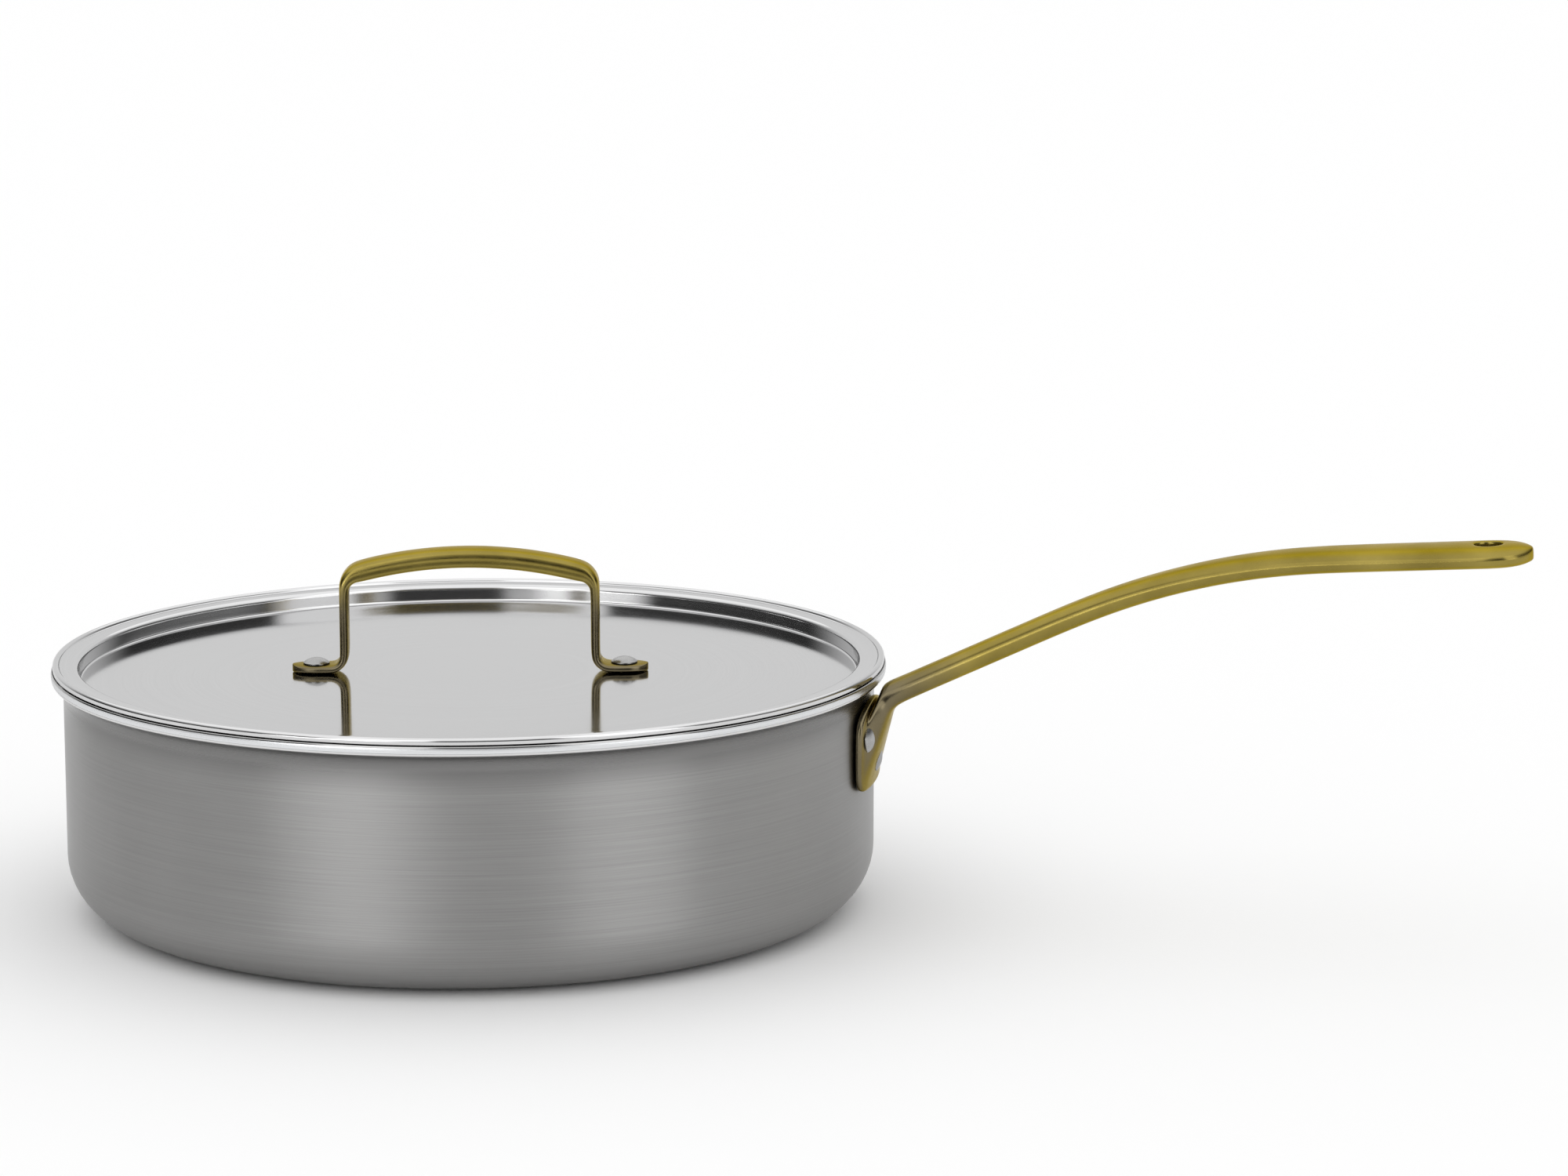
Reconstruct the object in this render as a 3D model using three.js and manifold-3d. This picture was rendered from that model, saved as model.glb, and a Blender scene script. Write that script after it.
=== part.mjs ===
// Straight-sided saute pan of clad steel with a sunk lid and cast bronze handles.
// Millimetres, +Z up. The origin is the centre of the base's underside, and +X runs
// along the long handle.
import * as THREE from 'three';
import { mergeVertices } from 'three/addons/utils/BufferGeometryUtils.js';
import Module from 'manifold-3d';

const wasm = await Module();
wasm.setup();

// Pan body: three bonded plies drawn into one pan
const INNER_DIAMETER = 240;
const PAN_HEIGHT = 75;
const OUTER_PLY = 0.5;
const CORE_PLY = 1.5;
const INNER_PLY = 0.5;
const BOND_LINE = 0.05;
const BASE_CORNER_RADIUS = 19;
const FLARE_RADIUS = 6;
const FLARE_ANGLE = THREE.MathUtils.degToRad(74);

// Long handle: a flange that follows the wall, a rising neck and a level grip
const FLANGE_WIDTH = 36;
const FLANGE_HEIGHT = 24.5;
const FLANGE_BELOW_RIM = 9.5;
const FLANGE_CORNER_RADIUS = 8;
const FLANGE_TOP_THICKNESS = 2.4;
const FLANGE_FOOT_THICKNESS = 1.8;
const FLANGE_SEAT_GAP = 0.3;
const NECK_ROOT_BELOW_RIM = 9;
const NECK_ANGLE = THREE.MathUtils.degToRad(25.4);
const NECK_RUN = 66;
const BEND_RADIUS = 212;
const GRIP_ANGLE = THREE.MathUtils.degToRad(3.6);
const GRIP_RUN = 58.5;
const ROOT_WIDTH = 19;
const ROOT_THICKNESS = 8;
const ROOT_BLEND = 16;
const NECK_WIDTH = 12.5;
const NECK_THICKNESS = 7.2;
const GRIP_WIDTH = 25;
const GRIP_THICKNESS = 6.8;
const EYE_DIAMETER = 9;
const EYE_SETBACK = 13;

// Rivets that hold the long handle: two beside the neck and one below it
const RIVET_DIAMETER = 5;
const RIVET_HEAD_DIAMETER = 9;
const RIVET_HEAD_HEIGHT = 1.8;
const RIVET_CLEARANCE = 0.15;
const RIVET_HEAD_GAP = 0.1;
const UPPER_RIVET_SPREAD = 22;
const UPPER_RIVET_DROP = 8;
const LOWER_RIVET_LIFT = 9;

// Lid: one pressed sheet, a flange with a curled edge on the flared rim and a panel sunk inside the wall
const LID_SHEET = 1;
const LID_FLANGE_OVERLAP = 5.7;
const LID_SEAT_GAP = 0.3;
const LID_WALL_CLEARANCE = 1.2;
const LID_DEPTH = 5.2;
const LID_CROWN = 0.4;
const LID_CURL_RADIUS = 1;
const LID_LOWER_BEND = 0.8;
const LID_UPPER_BEND = 0.5;
const LID_TURN = THREE.MathUtils.degToRad(12);

// Lid handle: a strap loop with two feet turned outwards
const LOOP_SPAN = 76;
const LOOP_HEIGHT = 38.2;
const LOOP_ARCH_RISE = 5.5;
const LOOP_CORNER = 8;
const LOOP_INNER_CORNER = 5;
const STRAP_WIDTH = 12;
const STRAP_EDGE_RADIUS = 0.8;
const LEG_THICKNESS = 2.8;
const LOOP_GRIP_THICKNESS = 6;
const FOOT_LENGTH = 14.6;
const FOOT_THICKNESS = 2.4;
const FOOT_BEND = 2.5;
const FOOT_SEAT_GAP = 0.1;
const LID_RIVET_DIAMETER = 4.5;
const LID_RIVET_HEAD_DIAMETER = 8;
const LID_RIVET_HEAD_HEIGHT = 1.8;

// How finely the round forms are cut into flat facets
const TURNED_SIDES = 60;
const RIVET_SIDES = 18;
const BEND_STEPS = 4;
const CROWN_STEPS = 3;
const BAR_SIDES = 16;
const BAR_STATIONS = 40;
const BAR_TIP_SHARE = 0.15;
const BAR_TIP_SWEEP = THREE.MathUtils.degToRad(88);
const CORNER_STEPS = 6;
const SEAM_TOLERANCE = 1e-4;

// Sizes that follow from the ones above
const INNER_RADIUS = INNER_DIAMETER / 2;
const WALL = OUTER_PLY + CORE_PLY + INNER_PLY + 2 * BOND_LINE;
const OUTER_RADIUS = INNER_RADIUS + WALL;
const FLARE_START = PAN_HEIGHT - (FLARE_RADIUS + WALL) * Math.sin(FLARE_ANGLE);
const FACET_SAG = INNER_RADIUS * (1 - Math.cos(Math.PI / TURNED_SIDES));

// Closed geometry to a solid: seam vertices merged, flat slivers dropped, faces turned out
function solidOf(geometry) {
  geometry.deleteAttribute('normal');
  geometry.deleteAttribute('uv');
  const merged = mergeVertices(geometry, SEAM_TOLERANCE);
  const position = merged.getAttribute('position');
  const index = merged.getIndex().array;
  const corner = [new THREE.Vector3(), new THREE.Vector3(), new THREE.Vector3()];
  const triangles = [];
  let volume = 0;
  for (let i = 0; i < index.length; i += 3) {
    const [a, b, c] = [index[i], index[i + 1], index[i + 2]];
    if (a !== b && b !== c && c !== a) {
      triangles.push(a, b, c);
      [a, b, c].forEach((vertex, k) => corner[k].fromBufferAttribute(position, vertex));
      volume += corner[0].dot(corner[1].cross(corner[2]));
    }
  }
  if (volume < 0) {
    triangles.reverse();
  }
  const vertProperties = new Float32Array(position.array);
  const triVerts = new Uint32Array(triangles);
  return new wasm.Manifold(new wasm.Mesh({ numProp: 3, vertProperties, triVerts }));
}

function namedMesh(name, solid, material) {
  const { vertProperties, triVerts } = solid.getMesh();
  const geometry = new THREE.BufferGeometry();
  geometry.setAttribute('position', new THREE.BufferAttribute(vertProperties, 3));
  geometry.setIndex(new THREE.BufferAttribute(triVerts, 1));
  geometry.computeVertexNormals();
  const mesh = new THREE.Mesh(geometry, material);
  mesh.name = name;
  return mesh;
}

// Points on an arc in the plane of radius and height
function arc(centre, radius, from, to, steps = BEND_STEPS) {
  return Array.from({ length: steps + 1 }, (_, i) => {
    const angle = THREE.MathUtils.lerp(from, to, i / steps);
    return new THREE.Vector2(centre.x + radius * Math.cos(angle), centre.y + radius * Math.sin(angle));
  });
}

// A profile of radius and height, turned about the Z axis
function turned(profile, sides = TURNED_SIDES) {
  return solidOf(new THREE.LatheGeometry(profile, sides).rotateX(Math.PI / 2));
}

// A shape drawn in X and Z, extruded along Y and centred on it
function extrudedAcross(shape, width, options) {
  const settings = { depth: width, bevelEnabled: false, ...options };
  const geometry = new THREE.ExtrudeGeometry(shape, settings);
  return solidOf(geometry.translate(0, 0, -width / 2).rotateX(Math.PI / 2));
}

function roundedRectangle(width, height, radius) {
  const [x, y] = [width / 2, height / 2];
  const shape = new THREE.Shape();
  shape.absarc(x - radius, y - radius, radius, 0, Math.PI / 2);
  shape.absarc(radius - x, y - radius, radius, Math.PI / 2, Math.PI);
  shape.absarc(radius - x, radius - y, radius, Math.PI, 1.5 * Math.PI);
  shape.absarc(x - radius, radius - y, radius, 1.5 * Math.PI, 2 * Math.PI);
  return shape;
}

function finish(color, roughness, metalness = 1) {
  return new THREE.MeshStandardMaterial({ color, roughness, metalness });
}

const satinSteel = () => finish(0x9a9896, 0.32);
const polishedSteel = () => finish(0xcfcfd0, 0.12);
const bareAluminium = () => finish(0xb9babb, 0.45);
const castBronze = () => finish(0x8f8153, 0.28);

// One surface of the pan, at a depth below its outside: base, corner, wall and flare
function panSurface(depth) {
  const cornerCentre = new THREE.Vector2(OUTER_RADIUS - BASE_CORNER_RADIUS, BASE_CORNER_RADIUS);
  const flareCentre = new THREE.Vector2(OUTER_RADIUS + FLARE_RADIUS, FLARE_START);
  return [
    new THREE.Vector2(0, depth),
    ...arc(cornerCentre, BASE_CORNER_RADIUS - depth, -Math.PI / 2, 0),
    ...arc(flareCentre, FLARE_RADIUS + depth, Math.PI, Math.PI - FLARE_ANGLE),
  ];
}

function ply(depth, thickness) {
  return turned([...panSurface(depth), ...panSurface(depth + thickness).reverse()]);
}

// A rivet along the Z axis: a low domed head on each side of what it clamps
function rivetSolid(shank, head, headHeight, low, high) {
  const headRadius = head / 2;
  const domeRadius = (headRadius ** 2 + headHeight ** 2) / (2 * headHeight);
  const halfAngle = Math.asin(headRadius / domeRadius);
  const topCentre = new THREE.Vector2(0, high + headHeight - domeRadius);
  const lowCentre = new THREE.Vector2(0, low - headHeight + domeRadius);
  return turned([
    ...arc(lowCentre, domeRadius, -Math.PI / 2, halfAngle - Math.PI / 2, CROWN_STEPS),
    new THREE.Vector2(shank / 2, low),
    new THREE.Vector2(shank / 2, high),
    ...arc(topCentre, domeRadius, Math.PI / 2 - halfAngle, Math.PI / 2, CROWN_STEPS),
  ], RIVET_SIDES);
}

// A plain pin along the Z axis that cuts a rivet's hole or the hanging eye
function drill(diameter, length) {
  const pin = new THREE.CylinderGeometry(diameter / 2, diameter / 2, length, RIVET_SIDES);
  return solidOf(pin.rotateX(Math.PI / 2));
}

// Where the handle's rivets sit: the turn about the pan's axis and the height
const flangeTop = PAN_HEIGHT - FLANGE_BELOW_RIM;
const flangeFoot = flangeTop - FLANGE_HEIGHT;
const upperRivetTurn = THREE.MathUtils.radToDeg(UPPER_RIVET_SPREAD / 2 / OUTER_RADIUS);
const handleRivets = [
  { name: 'handle_rivet_upper_left', turn: upperRivetTurn, height: flangeTop - UPPER_RIVET_DROP },
  { name: 'handle_rivet_upper_right', turn: -upperRivetTurn, height: flangeTop - UPPER_RIVET_DROP },
  { name: 'handle_rivet_lower', turn: 0, height: flangeFoot + LOWER_RIVET_LIFT },
];

// The holes for those rivets, bored radially through the wall and the flange
const flangeSeat = OUTER_RADIUS + FLANGE_SEAT_GAP;
const handleRivetHoles = handleRivets.map(({ turn, height }) =>
  drill(RIVET_DIAMETER + 2 * RIVET_CLEARANCE, 4 * (WALL + FLANGE_TOP_THICKNESS))
    .rotate([0, 90, 0])
    .translate([OUTER_RADIUS, 0, height])
    .rotate([0, 0, turn]));

function withRivetHoles(solid) {
  return handleRivetHoles.reduce((body, hole) => body.subtract(hole), solid);
}

function flangeThickness(height) {
  const rise = (height - flangeFoot) / FLANGE_HEIGHT;
  return THREE.MathUtils.lerp(FLANGE_FOOT_THICKNESS, FLANGE_TOP_THICKNESS, rise);
}

// The handle's centre line: a straight neck, a bend to nearly level and a straight grip
const bendRun = BEND_RADIUS * (NECK_ANGLE - GRIP_ANGLE);
const barLength = NECK_RUN + bendRun + GRIP_RUN;

function barPoint(run) {
  const point = new THREE.Vector2(flangeSeat, PAN_HEIGHT - NECK_ROOT_BELOW_RIM);
  const neck = Math.min(run, NECK_RUN);
  point.x += neck * Math.cos(NECK_ANGLE);
  point.y += neck * Math.sin(NECK_ANGLE);
  const angle = NECK_ANGLE - THREE.MathUtils.clamp(run - NECK_RUN, 0, bendRun) / BEND_RADIUS;
  point.x += BEND_RADIUS * (Math.sin(NECK_ANGLE) - Math.sin(angle));
  point.y += BEND_RADIUS * (Math.cos(angle) - Math.cos(NECK_ANGLE));
  const grip = Math.max(run - NECK_RUN - bendRun, 0);
  point.x += grip * Math.cos(GRIP_ANGLE);
  point.y += grip * Math.sin(GRIP_ANGLE);
  return { point, angle };
}

// Half width and half thickness of the bar: flared at the root, round in plan at the tip
function barSection(run) {
  const root = (1 - THREE.MathUtils.clamp(run / ROOT_BLEND, 0, 1)) ** 2;
  const grip = THREE.MathUtils.smoothstep(run, NECK_RUN / 2, barLength - GRIP_WIDTH / 2);
  const width = THREE.MathUtils.lerp(NECK_WIDTH, GRIP_WIDTH, grip) + root * (ROOT_WIDTH - NECK_WIDTH);
  const thickness = THREE.MathUtils.lerp(NECK_THICKNESS, GRIP_THICKNESS, grip)
    + root * (ROOT_THICKNESS - NECK_THICKNESS);
  const tip = THREE.MathUtils.clamp(1 - (barLength - run) / (GRIP_WIDTH / 2), 0, 1);
  return { across: width / 2 * Math.sqrt(1 - tip ** 2), through: thickness / 2 * (1 - tip ** 4 / 2) };
}

// The bar is a cylinder whose rings are set along the centre line and shaped one by one
function handleBar() {
  const bar = new THREE.CylinderGeometry(1, 1, 1, BAR_SIDES, BAR_STATIONS);
  const position = bar.getAttribute('position');
  const tipRun = GRIP_WIDTH / 2;
  for (let i = 0; i < position.count; i += 1) {
    const share = position.getY(i) + 0.5;
    const along = Math.min(share / (1 - BAR_TIP_SHARE), 1);
    const sweep = BAR_TIP_SWEEP * Math.max((share - 1) / BAR_TIP_SHARE + 1, 0);
    const run = along * (barLength - tipRun) + tipRun * Math.sin(sweep);
    const { point, angle } = barPoint(run);
    const { across, through } = barSection(run);
    const side = across * position.getX(i);
    const up = through * position.getZ(i);
    position.setXYZ(i, point.x - up * Math.sin(angle), side, point.y + up * Math.cos(angle));
  }
  return solidOf(bar);
}

// Long handle: bar and flange cast in one, trimmed to the wall, with its holes and eye
function longHandle() {
  const drumRise = 2 * FLANGE_HEIGHT;
  const middle = (flangeTop + flangeFoot) / 2;
  const [low, high] = [middle - drumRise / 2, middle + drumRise / 2];
  const drum = turned([
    new THREE.Vector2(0, low),
    new THREE.Vector2(flangeSeat + flangeThickness(low), low),
    new THREE.Vector2(flangeSeat + flangeThickness(high), high),
    new THREE.Vector2(0, high),
  ]);
  const wallForm = turned([...panSurface(-FLANGE_SEAT_GAP), new THREE.Vector2(0, PAN_HEIGHT)]);
  const outline = roundedRectangle(FLANGE_WIDTH, FLANGE_HEIGHT, FLANGE_CORNER_RADIUS);
  const plate = new THREE.ExtrudeGeometry(outline, {
    depth: OUTER_RADIUS,
    bevelEnabled: false,
    curveSegments: CORNER_STEPS,
  });
  plate.rotateX(Math.PI / 2).rotateZ(Math.PI / 2).translate(OUTER_RADIUS / 2, 0, middle);
  const { point, angle } = barPoint(barLength - EYE_SETBACK);
  const eye = drill(EYE_DIAMETER, 4 * GRIP_THICKNESS)
    .rotate([0, -THREE.MathUtils.radToDeg(angle), 0])
    .translate([point.x, 0, point.y]);
  const casting = solidOf(plate).intersect(drum).add(handleBar()).subtract(wallForm).subtract(eye);
  return withRivetHoles(casting);
}

// A handle rivet: flat undersides that just clear the curved flange and the pan's inside
function handleRivet({ name, turn, height }) {
  const headRadius = RIVET_HEAD_DIAMETER / 2;
  const outside = flangeSeat + flangeThickness(height + headRadius) + RIVET_HEAD_GAP;
  const inside = Math.sqrt(INNER_RADIUS ** 2 - headRadius ** 2) - FACET_SAG - RIVET_HEAD_GAP;
  const rivet = rivetSolid(RIVET_DIAMETER, RIVET_HEAD_DIAMETER, RIVET_HEAD_HEIGHT, inside, outside);
  const mesh = namedMesh(name, rivet.rotate([0, 90, 0]), satinSteel());
  mesh.position.z = height;
  const place = new THREE.Group();
  place.rotation.z = THREE.MathUtils.degToRad(turn);
  return place.add(mesh);
}

// Height of the flared rim's inner surface at a radius: the lid's flange rests on it
function flareSeat(radius) {
  const reach = OUTER_RADIUS + FLARE_RADIUS - radius;
  return FLARE_START + Math.sqrt((FLARE_RADIUS + WALL) ** 2 - reach ** 2);
}

// Lid levels and radii, and the crowned panel's top surface
const lidFlangeRadius = INNER_RADIUS + LID_FLANGE_OVERLAP;
const lidTop = flareSeat(lidFlangeRadius) + LID_SEAT_GAP + LID_SHEET;
const panelEdge = lidTop - LID_DEPTH;
const plugRadius = INNER_RADIUS - LID_WALL_CLEARANCE;
const panelRadius = plugRadius - LID_SHEET - LID_LOWER_BEND;

function panelHeight(radius) {
  return panelEdge + LID_CROWN * (1 - (radius / panelRadius) ** 2);
}

// One face of the lid's sheet, at a depth below its top, from the centre to the flange
function lidSurface(depth) {
  const lowerCentre = new THREE.Vector2(panelRadius, panelEdge + LID_LOWER_BEND);
  const upperCentre = new THREE.Vector2(plugRadius + LID_UPPER_BEND, lidTop - LID_SHEET - LID_UPPER_BEND);
  const crown = Array.from({ length: CROWN_STEPS }, (_, i) => {
    const radius = panelRadius * i / CROWN_STEPS;
    return new THREE.Vector2(radius, panelHeight(radius) - depth);
  });
  return [
    ...crown,
    ...arc(lowerCentre, LID_LOWER_BEND + depth, -Math.PI / 2, 0, CROWN_STEPS),
    ...arc(upperCentre, LID_UPPER_BEND + LID_SHEET - depth, Math.PI, Math.PI / 2, CROWN_STEPS),
  ];
}

// The lid's rivets and feet stand on one line through its centre
const legOuter = LOOP_SPAN / 2 + LEG_THICKNESS / 2;
const legInner = legOuter - LEG_THICKNESS;
const footReach = legOuter + FOOT_LENGTH;
const lidRivetReach = legOuter + FOOT_LENGTH / 2;
const footBase = panelHeight(legInner) + FOOT_SEAT_GAP;
const lidRivetHoles = [-lidRivetReach, lidRivetReach].map((reach) =>
  drill(LID_RIVET_DIAMETER + 2 * RIVET_CLEARANCE, 4 * LOOP_HEIGHT).translate([reach, 0, footBase]));

function withLidRivetHoles(solid) {
  return lidRivetHoles.reduce((body, hole) => body.subtract(hole), solid);
}

// The disc's profile runs out under the sheet, over the curled edge and back along its top
function lidDisc() {
  const curlCentre = new THREE.Vector2(lidFlangeRadius - LID_CURL_RADIUS, lidTop);
  return withLidRivetHoles(turned([
    ...lidSurface(LID_SHEET),
    new THREE.Vector2(lidFlangeRadius, lidTop - LID_SHEET),
    ...arc(curlCentre, LID_CURL_RADIUS, 0, Math.PI),
    ...lidSurface(0).reverse(),
  ]));
}

// Lid handle: half the strap's outline is drawn, mirrored, extruded, and its feet rounded
function lidHandle() {
  const top = panelHeight(0) + LOOP_HEIGHT;
  const archRadius = ((LOOP_SPAN / 2) ** 2 + LOOP_ARCH_RISE ** 2) / (2 * LOOP_ARCH_RISE);
  const archHeight = (x, drop) => top - archRadius + Math.sqrt(archRadius ** 2 - x ** 2) - drop;
  const archSteps = 5;
  const half = new THREE.Path();
  half.moveTo(0, top);
  for (let i = 1; i <= archSteps; i += 1) {
    const x = (legOuter - LOOP_CORNER) * i / archSteps;
    half.lineTo(x, archHeight(x, 0));
  }
  const shoulder = archHeight(legOuter, 0);
  half.quadraticCurveTo(legOuter, shoulder, legOuter, shoulder - LOOP_CORNER);
  const footTop = footBase + FOOT_THICKNESS;
  half.lineTo(legOuter, footTop + FOOT_BEND);
  half.quadraticCurveTo(legOuter, footTop, legOuter + FOOT_BEND, footTop);
  half.lineTo(footReach, footTop);
  half.lineTo(footReach, footBase);
  half.lineTo(legInner + LEG_THICKNESS, footBase);
  half.quadraticCurveTo(legInner, footBase, legInner, footBase + LEG_THICKNESS);
  const armpit = archHeight(legInner, LOOP_GRIP_THICKNESS);
  half.lineTo(legInner, armpit - LOOP_INNER_CORNER);
  const innerStart = legInner - LOOP_INNER_CORNER;
  half.quadraticCurveTo(legInner, armpit, innerStart, archHeight(innerStart, LOOP_GRIP_THICKNESS));
  for (let i = archSteps - 1; i >= 0; i -= 1) {
    const x = innerStart * i / archSteps;
    half.lineTo(x, archHeight(x, LOOP_GRIP_THICKNESS));
  }
  const right = half.getPoints(BEND_STEPS);
  const left = right.slice(1, -1).map(({ x, y }) => new THREE.Vector2(-x, y)).reverse();
  const strap = extrudedAcross(new THREE.Shape([...right, ...left]), STRAP_WIDTH - 2 * STRAP_EDGE_RADIUS, {
    bevelEnabled: true,
    bevelThickness: STRAP_EDGE_RADIUS,
    bevelSize: STRAP_EDGE_RADIUS,
    bevelOffset: -STRAP_EDGE_RADIUS,
    bevelSegments: 2,
  });
  const endRadius = STRAP_WIDTH / 2 + STRAP_EDGE_RADIUS;
  const plan = roundedRectangle(2 * footReach, 2 * endRadius, endRadius);
  const rise = 4 * LOOP_HEIGHT;
  const column = new THREE.ExtrudeGeometry(plan, {
    depth: rise,
    bevelEnabled: false,
    curveSegments: CORNER_STEPS,
  });
  const footEnds = solidOf(column.translate(0, 0, footBase - rise / 2));
  return withLidRivetHoles(strap.intersect(footEnds));
}

// A lid rivet: domed head on the foot, its tail upset under the panel
function lidRivet() {
  const above = footBase + FOOT_THICKNESS + RIVET_HEAD_GAP;
  const below = panelHeight(lidRivetReach + LID_RIVET_HEAD_DIAMETER / 2) - LID_SHEET - RIVET_HEAD_GAP;
  return rivetSolid(LID_RIVET_DIAMETER, LID_RIVET_HEAD_DIAMETER, LID_RIVET_HEAD_HEIGHT, below, above);
}

// The pan, with everything that is bonded or riveted to it
const pan = new THREE.Group();
const coreDepth = OUTER_PLY + BOND_LINE;
const linerDepth = coreDepth + CORE_PLY + BOND_LINE;
pan.add(namedMesh('outer_steel_ply', withRivetHoles(ply(0, OUTER_PLY)), satinSteel()));
pan.add(namedMesh('aluminium_core', withRivetHoles(ply(coreDepth, CORE_PLY)), bareAluminium()));
pan.add(namedMesh('inner_steel_ply', withRivetHoles(ply(linerDepth, INNER_PLY)), satinSteel()));
pan.add(namedMesh('long_handle', longHandle(), castBronze()));
pan.add(...handleRivets.map(handleRivet));

// The lid, turned on its seat so that its loop stands a little askew of the long handle
const lid = new THREE.Group();
lid.add(namedMesh('lid_disc', lidDisc(), polishedSteel()));
lid.add(namedMesh('lid_handle', lidHandle(), castBronze()));
for (const [name, reach] of [['lid_rivet_left', -lidRivetReach], ['lid_rivet_right', lidRivetReach]]) {
  const rivet = namedMesh(name, lidRivet(), satinSteel());
  rivet.position.x = reach;
  lid.add(rivet);
}
lid.rotation.z = LID_TURN;

const sautePan = new THREE.Group();
sautePan.add(pan, lid);

export default sautePan;
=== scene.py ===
import math

import bmesh
import bpy
from mathutils import Matrix, Vector


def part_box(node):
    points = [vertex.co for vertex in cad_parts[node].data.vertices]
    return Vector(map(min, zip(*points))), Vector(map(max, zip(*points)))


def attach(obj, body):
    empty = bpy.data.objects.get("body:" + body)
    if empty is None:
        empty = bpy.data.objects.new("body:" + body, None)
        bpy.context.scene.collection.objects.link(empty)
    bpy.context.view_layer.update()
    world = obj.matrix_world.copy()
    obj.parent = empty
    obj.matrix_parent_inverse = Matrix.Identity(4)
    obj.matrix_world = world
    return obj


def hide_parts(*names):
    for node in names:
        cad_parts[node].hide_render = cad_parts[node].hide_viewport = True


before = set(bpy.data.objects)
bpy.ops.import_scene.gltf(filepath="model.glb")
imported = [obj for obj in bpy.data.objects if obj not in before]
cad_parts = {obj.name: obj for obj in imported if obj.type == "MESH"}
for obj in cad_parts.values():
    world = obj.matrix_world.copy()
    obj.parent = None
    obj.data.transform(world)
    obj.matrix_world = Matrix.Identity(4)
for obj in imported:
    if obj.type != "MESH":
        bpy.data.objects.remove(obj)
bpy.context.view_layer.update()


# Outer steel ply
# The outside skin of the pan is stainless sheet, bonded to the core, drawn straight-sided and
# flared at the rim. It is finished on a lathe with fine abrasive, so its marks run round the wall.
PAN_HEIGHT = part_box("inner_steel_ply")[1].z
WALL_RADIUS = 0.1226
BASE_CORNER = 0.019
FLARE_RADIUS = 0.006
FLARE_TURN = 74
WALL_THICKNESS = 0.0026
OUTER_PLY = 0.0005
LIP_SLOPE = 0.30
LIP_ROUNDING = 0.0004
LIP_STEPS = 5
FLARE_START = PAN_HEIGHT - (FLARE_RADIUS + WALL_THICKNESS) * math.sin(math.radians(FLARE_TURN))
SPIN_STEPS = 216
MERGE_WITHIN = 1e-6
SATIN_DARK = (0.320, 0.317, 0.313, 1)
SATIN_LIGHT = (0.394, 0.391, 0.387, 1)
SATIN_ROUGHNESS = (0.36, 0.44)
SATIN_HANDLING = (0, 0.05)
# A band under the flare: smoother, and darker in tone. The darker tone is painted shade under the rim.
UNBRUSHED_SHADE_FROM = FLARE_START - 0.0065
UNBRUSHED_SHADE_TO = FLARE_START - 0.0005
PAINTED_SHADE_TONE = (0.22258, 0.22072, 0.21824, 1)
UNBRUSHED_GLOSS = 0.14
# The flared lip: polished smoother, which is real, and lighter in tone, which is a painted highlight
# along the rim.
LIP_POLISH_AND_HIGHLIGHT_FROM = FLARE_START + 0.0048
LIP_POLISH_AND_HIGHLIGHT_TO = FLARE_START + 0.0053
LIP_PAINTED_HIGHLIGHT = (0.74, 0.738, 0.735, 1)
LIP_ROUGHNESS = 0.12
METAL_EDGE_TINT = (0.8, 0.8, 0.8, 1)


def straight_on(bm, vert, radius, height):
    """Carries a profile straight on from its last vertex to that radius and height."""
    end = bmesh.ops.extrude_vert_indiv(bm, verts=[vert])["verts"][0]
    end.co = (radius, 0, height)
    return end


def bend_on(bm, vert, radius, height, degrees, steps=12):
    """Carries a profile on round a centre at that radius and height, anticlockwise if positive."""
    made = bmesh.ops.spin(
        bm, geom=[vert], cent=(radius, 0, height), axis=(0, -1, 0),
        angle=math.radians(degrees), steps=steps, use_duplicate=False)
    return next(v for v in made["geom_last"] if isinstance(v, bmesh.types.BMVert))


def lip_turn(depth):
    """How far the wall has flared, in degrees, where the upright, eased lip ends it at that depth."""
    across = 2 * depth / WALL_THICKNESS - 1
    cut_back = LIP_SLOPE * (WALL_THICKNESS - depth)
    cut_back += LIP_ROUNDING * (1 - math.sqrt(max(1 - across ** 2, 0)))
    return FLARE_TURN - math.degrees(cut_back / (FLARE_RADIUS + depth))


def rim_point(depth):
    """Radius and height of the lip's end, at a depth in from the pan's outside."""
    turn = math.radians(180 - lip_turn(depth))
    reach = FLARE_RADIUS + depth
    return WALL_RADIUS + FLARE_RADIUS + reach * math.cos(turn), FLARE_START + reach * math.sin(turn)


def ply_profile(bm, depth, thickness):
    """Draws one ply's section: out along its lower face, over the rim and back along its upper."""
    low, high = depth, depth + thickness
    corner = WALL_RADIUS - BASE_CORNER
    flare = WALL_RADIUS + FLARE_RADIUS
    vert = bm.verts.new((0, 0, low))
    vert = straight_on(bm, vert, corner, low)
    vert = bend_on(bm, vert, corner, BASE_CORNER, 90)
    vert = straight_on(bm, vert, WALL_RADIUS - low, FLARE_START)
    vert = bend_on(bm, vert, flare, FLARE_START, -lip_turn(low))
    for step in range(1, LIP_STEPS + 1):
        vert = straight_on(bm, vert, *rim_point(low + thickness * step / LIP_STEPS))
    vert = bend_on(bm, vert, flare, FLARE_START, lip_turn(high))
    vert = straight_on(bm, vert, WALL_RADIUS - high, BASE_CORNER)
    vert = bend_on(bm, vert, corner, BASE_CORNER, -90)
    straight_on(bm, vert, 0, high)


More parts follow.
